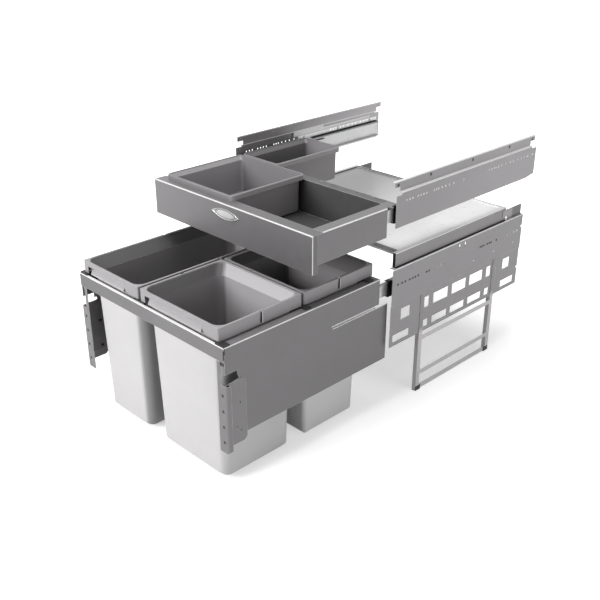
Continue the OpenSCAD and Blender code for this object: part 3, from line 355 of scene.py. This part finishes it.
# Holes of the strips, with painted shade round them and plugs in them
strip_row = (0.02, 0.225, 0.513, 0.79, 0.978)
# Radii of the painted highlights and painted shade round the holes
highlight_r, shade_r, standoff_r, strip_r = 0.0024, 0.0028, 0.0028, 0.0036

fold = 0.0022
front_low, front_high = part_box("drawer_front")
side_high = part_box("drawer_side_right")[1]
panel_low, panel_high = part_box("side_panel_right")
rail_low, rail_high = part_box("lid_rail_right")
hole_x, hole_z, hole_pitch, hole_half, hole_count = 0.2605, 0.253, 0.039, 0.0034, 4
slot_low, slot_high, slot_front = 0.295, 0.302, -0.1935
seam_h, strip_z = 0.016, 0.576


def top_highlight(node, extra=()):
    """Painted highlight along the top fold of a node"""
    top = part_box(node)[1][2]
    return [("Z", top - fold, top + fold), *extra]


def sided(side, near, far):
    """Band across X on one side, between two distances from the middle"""
    return ("X", *sorted((side * near, side * far)))


def dots(shares, length, level, radius):
    """Bands round each hole of a row along Y"""
    return [[("Y", share * length - radius, share * length + radius),
             ("Z", level - radius, level + radius)] for share in shares]


# Notches in the right rims: painted shade in the gaps and a painted highlight on the rear edge
rims_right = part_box("bin_rim_front_right")[1][0]
notch_span = ("X", rims_right - 0.014, rims_right + 0.001)
notch_start, notch_end, notch_edge_end = -0.0057, 0.0007, 0.0035
notch_floor, notch_top = 0.004, 0.002
notch_shade, notch_highlights = [], []
for node in ("bin_rim_front_right", "bin_rim_rear_right"):
    low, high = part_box(node)
    middle = (low[1] + high[1]) / 2
    notch_shade.append([("Y", middle + notch_start, middle + notch_end), notch_span,
                       ("Z", low[2] + notch_floor, high[2] - notch_top)])
    notch_highlights.append([("Y", middle + notch_end, middle + notch_edge_end), notch_span])

# Painted highlights, and painted shade in gaps, on single pieces
front_top_highlight = top_highlight("drawer_front", [("Y", front_low[1] - fold, front_low[1] + 1.3 * fold)])
front_corner_highlight = [("X", front_high[0] - 0.3 * fold, front_high[0] + fold),
                     ("Y", front_low[1] - fold, front_low[1] + fold)]
rail_end_shade = [("X", 0.266, 0.269), ("Z", 0.340, 0.362)]
door_hole_shade = [[("X", side * hole_x - hole_half, side * hole_x + hole_half),
                   ("Y", -0.518, -0.5125),
                   ("Z", hole_z - i * hole_pitch - hole_half, hole_z - i * hole_pitch + hole_half)]
                  for side in (-1, 1) for i in range(hole_count)]
side_top_highlights = [top_highlight("drawer_side_right",
                           [sided(side, side_high[0] - 1.2 * fold, side_high[0] + fold)])
                  for side in (1, -1)]
slot_highlight = [("Z", slot_low - 0.0016, slot_low + 0.001), ("Y", slot_front, panel_high[1] + fold)]
panel_gap_shade = [("Y", panel_low[1] - fold, panel_low[1] + 1.2 * fold),
             ("Z", panel_high[2] - seam_h, panel_high[2] - 0.4 * fold)]
strip_highlight = [("Z", strip_z - 0.0018, strip_z + 0.0012)]
inner_side = ("X", -0.2814, -0.2)
toothed_highlights = [[("Z", 0.5585, 0.574), ("Y", 0.219, 0.34), inner_side],
                 [("Z", 0.5585, 0.566), ("Y", 0.34, 0.545), inner_side]]
toothed_gap_shade = [("Z", 0.557, 0.575), ("Y", 0.2085, 0.2135), inner_side]
rail_seat_shade = [[sided(side, 0.270, 0.2792), ("Y", rail_low[1] - fold, rail_high[1]),
                   ("Z", 0.3838, 0.387)] for side in (1, -1)]
standoff_gap_shade = [("Z", 0.5432, 0.5468), ("Y", 0.285, 0.573)]
rail_top_shade = [("Z", rail_low[2] - fold, rail_low[2] + 0.8 * fold)]
runner_end_shade = [("Y", 0.0, 0.016)]
upper_hole_highlights = dots(upper_row, upper_d, upper_row_z, highlight_r)

# The finishes: copies of one grey paint and one plating, each part's at its own level, lighter or
# darker as painted light and shade. A painted shade ramp runs along its axis from the first place
# to the second.
painted("grey_steel", 124, hollow_shade=0.6)
painted("rail_steel", 116, hollow_shade=0.4, highlights=[top_highlight("front_rail")], gap_shade=[rail_end_shade],
        shade_ramp=("X", 0.1, -0.28, 0.35))
painted("drawer_steel", 126, hollow_shade=0.6, highlights=[front_top_highlight, front_corner_highlight],
        shade_ramp=("X", -0.28, 0.2, 0.5))
# Painted shade: darker copy of the paint for the pan
painted("shaded_pan_steel", 88, hollow_shade=0.95)
painted("bracket_steel", 122, gap_shade=door_hole_shade)
painted("skin_steel", 118, hollow_shade=0.8, highlights=side_top_highlights)
painted("panel_steel", 114, highlights=[top_highlight("side_panel_right"), slot_highlight], gap_shade=[panel_gap_shade])
# Painted light: lighter copies of the paint for the upper plates
painted("lit_upper_steel", 164, highlights=[strip_highlight, top_highlight("upper_plate_right"), *upper_hole_highlights],
        gap_shade=dots(strip_row, upper_d, strip_row_z, strip_r), shade_ramp=("Y", 0.5, 0.05, 0.3))
painted("lit_upper_left_steel", 205, highlights=[strip_highlight, *toothed_highlights, *upper_hole_highlights],
        gap_shade=[toothed_gap_shade], shade_ramp=("Y", 0.56, 0.15, 0.72))
painted("lower_steel", 144, highlights=[top_highlight("lower_plate_right"),
                                   *dots(lit_hole_row, lower_d, lower_row_z, highlight_r)],
        gap_shade=[*dots(shaded_hole_row, lower_d, lower_row_z, shade_r), *rail_seat_shade])
# Painted light: lighter copy of the paint for the legs, with painted shade on their upper part
painted("lit_leg_steel", 203, hollow_shade=0.0, shade_ramp=("Z", 0.172, 0.19, 0.82))
painted("lid_bracket_steel", 158, shade_ramp=("Y", 0.508, 0.516, 0.85))
plated("standoff_steel", 205, hollow_shade=0.3, highlights=dots(upper_row, upper_d, upper_row_z, standoff_r),
       gap_shade=[standoff_gap_shade])
painted("rail_top_steel", 136, hollow_shade=0.4, highlights=[top_highlight("lid_rail_right")], gap_shade=[rail_top_shade])
finish("lid_steel", grey(240), grey(252), rough=0.3, metal=0.25, radius=0.0014, mottle=0.05,
       grain=1400, bump=0.05, edge_highlight=0.9, hollow_shade=0.5, shade_ramp=("X", 0.2, -0.2, 0.85))
plated("runner_steel", 190, gap_shade=[runner_end_shade])
# Painted light: near-white finish of the slot liners
finish("lit_liner_steel", grey(248, metal_hue), grey(252), rough=0.4, metal=0.1, radius=0.0004,
       mottle=0.05, bump=0.05)
plated("zinc_steel", 190)
finish("black_plastic", grey(30), grey(66), rough=0.5, mottle=0.1, grain=1800, bump=0.15)
finish("black_screws", grey(40), grey(110), rough=0.4, metal=0.6, radius=0.0006, mottle=0.1,
       grain=1500, bump=0.1)
# Copies of one white plastic, each bin with its own levels of painted light and shade
bin_finish("bin_plastic", "bin_left", left_shade_level=136, side_light_level=152)
bin_finish("front_bin_plastic", "bin_front_right", left_shade_level=138, side_light_level=198)
bin_finish("rear_bin_plastic", "bin_rear_right", left_shade_level=124, side_light_level=214)
finish("rim_plastic", grey(160, paint), grey(215), rough=0.42, radius=0.0018, mottle=0.04,
       grain=1300, bump=0.12, hollow_shade=0.5, depth=0.03, highlights=notch_highlights, gap_shade=notch_shade)
finish("container_plastic", grey(128, paint), grey(176), rough=0.45, radius=0.0016, mottle=0.04,
       grain=1300, bump=0.12, hollow_shade=0.3, depth=0.15, tint=container_painted_light)
finish("badge", grey(176), grey(240), rough=0.3, metal=0.9, radius=0.0012, mottle=0.16, grain=260,
       bump=0.2, edge_highlight=0.9, tint=badge_tint)


def pair(name):
    return [f"{name}_left", f"{name}_right"]


# Finish of each node: the one of its slot in the record, or its own
slots = {row["node"]: row["material_slot"] for row in frame["record"]["subparts"]}
special = {
    "rail_steel": ["front_rail"],
    "drawer_steel": ["drawer_front", "container_carrier"],
    "shaded_pan_steel": ["drawer_pan"],
    "bracket_steel": pair("door_bracket"),
    "lid_bracket_steel": pair("lid_bracket"),
    "standoff_steel": pair("drawer_standoff"),
    "front_bin_plastic": ["bin_front_right"],
    "rear_bin_plastic": ["bin_rear_right"],
    "runner_steel": pair("bin_cabinet_runner") + pair("drawer_cabinet_runner"),
    "skin_steel": pair("drawer_side"),
    "panel_steel": pair("side_panel"),
    "lit_upper_steel": ["upper_plate_right"],
    "lit_upper_left_steel": ["upper_plate_left"],
    "lower_steel": pair("lower_plate"),
    "lit_leg_steel": pair("leg_frame"),
    "rail_top_steel": pair("lid_rail"),
}
for kind, names in special.items():
    for name in names:
        slots[name] = kind


# Rounded look for the nodes: joined vertices, smooth where the surface turns gently
weld, gentle_turn = 0.00001, 28


def smoothing():
    tree = bpy.data.node_groups.new("smooth_by_angle", "GeometryNodeTree")
    for way in ("INPUT", "OUTPUT"):
        tree.interface.new_socket("Geometry", in_out=way, socket_type="NodeSocketGeometry")
    t = Tree(tree)
    start = t.add("NodeGroupInput").outputs[0]
    merged = t.add("GeometryNodeMergeByDistance", {"Geometry": start, "Distance": weld}).outputs[0]
    clean = t.add("GeometryNodeRemoveAttribute", {"Geometry": merged, "Name": "custom_normal"})
    angle = t.add("GeometryNodeInputMeshEdgeAngle").outputs["Unsigned Angle"]
    gentle = t.add("FunctionNodeCompare", {0: angle, 1: math.radians(gentle_turn)},
                   operation="LESS_THAN").outputs[0]
    faces = t.add("GeometryNodeSetShadeSmooth",
                  {"Geometry": clean.outputs[0], "Shade Smooth": True}, domain="FACE")
    edges = t.add("GeometryNodeSetShadeSmooth",
                  {"Geometry": faces.outputs[0], "Shade Smooth": gentle}, domain="EDGE")
    t.add("NodeGroupOutput", {0: edges.outputs[0]})
    return tree


smooth_tree = smoothing()
for name, obj in nodes.items():
    mat = materials[slots[name]]
    if not obj.data.materials:
        obj.data.materials.append(mat)
    for i in range(len(obj.data.materials)):
        obj.data.materials[i] = mat
    mod = obj.modifiers.new("smooth", "NODES")
    mod.node_group = smooth_tree


# Small pieces of trim, modelled as meshes
def dress(mesh_name, verts, faces, material, body):
    """New piece from points and faces, with its faces turned outwards, riding on a body"""
    mesh = bpy.data.meshes.new(mesh_name)
    mesh.from_pydata([tuple(v) for v in verts], [], faces)
    shape = bmesh.new()
    shape.from_mesh(mesh)
    bmesh.ops.recalc_face_normals(shape, faces=shape.faces)
    shape.to_mesh(mesh)
    shape.free()
    mesh.materials.append(materials[material])
    piece = bpy.data.objects.new(mesh_name, mesh)
    scene.collection.objects.link(piece)
    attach(piece, body)


def stadium(reach, radius, turns=8):
    """Points of a slot's outline with round ends, as pairs"""
    points = []
    for end, start in ((reach, -90), (-reach, 90)):
        for i in range(turns + 1):
            a = math.radians(start + 180 * i / turns)
            points.append((end + radius * math.cos(a), radius * math.sin(a)))
    return points


def plug(verts, faces, place, reach, radius, back, axis):
    """Dished plug in a hole: a rim ring, a wall and a sunk floor, and a closed back"""
    lip, sink = 0.0004, 0.0007
    depths = ((radius, back), (radius, 0.0), (radius - lip, 0.0), (radius - 2 * lip, sink))
    rings = []
    for r, depth in depths:
        ring = []
        for u, v in stadium(reach, r):
            point = (place[0] + u, place[1] + depth, place[2] + v)
            if axis == "X":
                point = (place[0] - depth, place[1] + u, place[2] + v)
            ring.append(len(verts))
            verts.append(point)
        rings.append(ring)
    for low, high in zip(rings, rings[1:]):
        for i in range(len(low)):
            j = (i + 1) % len(low)
            faces.append((low[i], low[j], high[j], high[i]))
    faces.append(tuple(reversed(rings[0])))
    faces.append(tuple(rings[-1]))


def bar(xs, ys, zs, bevel):
    """Points and faces of a bar with cut edges along its longest side"""
    low, high = zip(xs, ys, zs)
    span = [h - l for l, h in zip(low, high)]
    long = span.index(max(span))
    a, b = [i for i in range(3) if i != long]
    outline = []
    for u, v, du, dv in ((0, 0, 1, 0), (1, 0, -1, 0), (1, 0, 0, 1), (1, 1, 0, -1), (1, 1, -1, 0),
                         (0, 1, 1, 0), (0, 1, 0, -1), (0, 0, 0, 1)):
        outline.append((low[a] + u * span[a] + du * bevel, low[b] + v * span[b] + dv * bevel))
    verts = []
    for end in (low[long], high[long]):
        for p, q in outline:
            point = [0.0, 0.0, 0.0]
            point[a], point[b], point[long] = p, q, end
            verts.append(point)
    n = len(outline)
    faces = [(i, (i + 1) % n, n + (i + 1) % n, n + i) for i in range(n)]
    return verts, faces + [tuple(range(n - 1, -1, -1)), tuple(range(n, 2 * n))]


# Plugs in the holes of the door brackets, the end ones slotted
bracket_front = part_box("door_bracket_right")[0][1]
door_plug_r, slot_reach, plug_inset, plug_depth = 0.00242, 0.0015, 0.0002, 0.0035
for side, word in ((-1, "left"), (1, "right")):
    verts, faces = [], []
    for i in range(hole_count):
        reach = slot_reach if i in (0, hole_count - 1) else 0.0
        place = (side * hole_x, bracket_front + plug_inset, hole_z - i * hole_pitch)
        plug(verts, faces, place, reach, door_plug_r, plug_depth, "Y")
    dress(f"door_hole_plugs_{word}", verts, faces, "black_plastic", "bin_frame")

# Plugs in the holes of the upper strips
strip_x, strip_thick, strip_plug_r = 0.2738, 0.0012, 0.0029
strips = ((1, "right", "black_plastic", "black_plastic"),
          (-1, "left", "lit_upper_left_steel", "grey_steel"))
for side, word, material, slot in strips:
    verts, faces = [], []
    for share in strip_row:
        place = (side * strip_x, share * upper_d, strip_row_z)
        plug(verts, faces, place, 0.0, strip_plug_r, -side * strip_thick, "X")
    dress(f"strip_hole_plugs_{word}", verts, faces, material, "cabinet_fittings")

# Near-white liners behind the panel slots, a sheet of painted light where shade falls, and plugs
# in the front ends of the lid rails
liner_xs, liner_ys = (0.2632, 0.2647), (slot_front - 0.002, panel_high[1] - 0.04)
liner_zs, liner_bevel = (slot_low - 0.002, slot_high + 0.002), 0.0004
rail_plug_xs, rail_plug_ys = (0.2636, 0.2727), (rail_low[1] + 0.0003, rail_low[1] + 0.004)
rail_plug_zs, rail_plug_bevel = (rail_low[2] + 0.0013, rail_high[2] - 0.0013), 0.0008
for side, word in ((-1, "left"), (1, "right")):
    verts, faces = bar(sided(side, *liner_xs)[1:], liner_ys, liner_zs, liner_bevel)
    dress(f"slot_liner_{word}", verts, faces, "lit_liner_steel", "bin_frame")
    verts, faces = bar(sided(side, *rail_plug_xs)[1:], rail_plug_ys, rail_plug_zs, rail_plug_bevel)
    dress(f"lid_rail_plug_{word}", verts, faces, "black_plastic", "cabinet_fittings")


# Stage: pale floor, white surroundings and soft studio light
floor_size, floor_z, floor_noise = 30, -0.0005, 3.0
floor_tones = (0.8, 0.82)
glow_reach, glow_strength = (0.5, 1.4), (0.5, 1.0)
world_strengths = (0.2, 1.0)


def floor_material():
    mat, t = new_material("floor")
    place = t.add("ShaderNodeTexCoord").outputs["Object"]
    tone = t.ramp(t.noise(place, floor_noise), *noise_range, *floor_tones)
    colour = t.add("ShaderNodeCombineColor", {0: tone, 1: tone, 2: tone}).outputs[0]
    diffuse = t.add("ShaderNodeBsdfDiffuse", {"Color": colour, "Roughness": 1.0})
    reach = t.add("ShaderNodeVectorMath", {0: place}, operation="LENGTH").outputs["Value"]
    glow = t.math("MULTIPLY", t.directly_seen(), t.ramp(reach, *glow_reach, *glow_strength))
    light = t.add("ShaderNodeEmission", {"Strength": glow})
    both = t.add("ShaderNodeAddShader", {0: diffuse.outputs[0], 1: light.outputs[0]})
    t.add("ShaderNodeOutputMaterial", {0: both.outputs[0]})
    return mat


bpy.ops.mesh.primitive_plane_add(size=floor_size, location=(0, 0, floor_z))
floor = bpy.context.object
floor.name = "floor"
floor.data.materials.append(floor_material())

world = bpy.data.worlds.new("world")
scene.world = world
world.use_nodes = True
w = Tree(world.node_tree)
strength = w.ramp(w.directly_seen(), 0.0, 1.0, *world_strengths)
background = w.add("ShaderNodeBackground", {"Color": (1, 1, 1, 1), "Strength": strength})
w.add("ShaderNodeOutputWorld", {0: background.outputs[0]})


def lamp(name, place, aim, size, power):
    """Rectangular lamp at a place, aimed at a point"""
    data = bpy.data.lights.new(name, "AREA")
    data.shape = "RECTANGLE"
    data.size, data.size_y = size
    data.energy = power
    obj = bpy.data.objects.new(name, data)
    obj.location = place
    obj.rotation_euler = (Vector(aim) - Vector(place)).to_track_quat("-Z", "Y").to_euler()
    scene.collection.objects.link(obj)


lamp("key", place=(-0.9, -3.6, 1.9), aim=(0, 0, 0.35), size=(2.0, 1.4), power=104)
lamp("top", place=(0.1, -0.5, 3.6), aim=(0, 0, 0.3), size=(1.6, 1.6), power=72)
lamp("side", place=(3.4, 0.2, 0.9), aim=(0, 0, 0.3), size=(1.6, 1.2), power=22)
